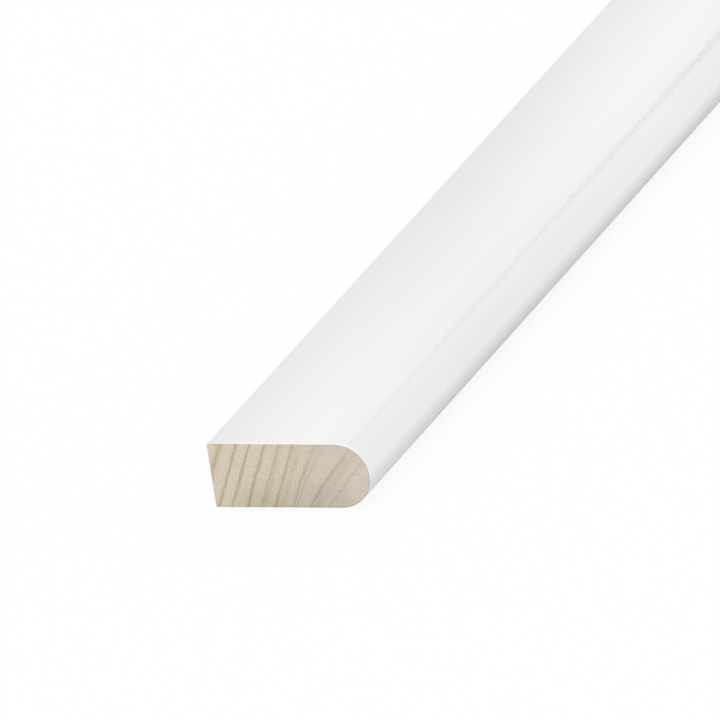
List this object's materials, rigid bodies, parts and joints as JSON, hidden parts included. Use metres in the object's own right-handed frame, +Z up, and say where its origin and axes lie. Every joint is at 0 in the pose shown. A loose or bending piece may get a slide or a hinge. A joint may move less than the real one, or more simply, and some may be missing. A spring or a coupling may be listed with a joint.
{
  "type": "bead moulding",
  "caption": "Straight length of white primed pine bead moulding, flat on its wide faces, with a square back edge and a full half-round nose, sawn square at both ends.",
  "frame": {"origin": "middle of the wide underside, halfway along the length and halfway across the width", "axes": "+X across the width from the square back edge to the half-round nose, +Y along the length, +Z up through the thickness"},
  "size_m": [0.0238, 2.4384, 0.0095],
  "materials": {
    "primed_pine": "white primer on planed pine, satin to matt, with bare sawn end grain"
  },
  "bodies": {
    "root": {"bead_moulding": "primed_pine"}
  },
  "joints": []
}
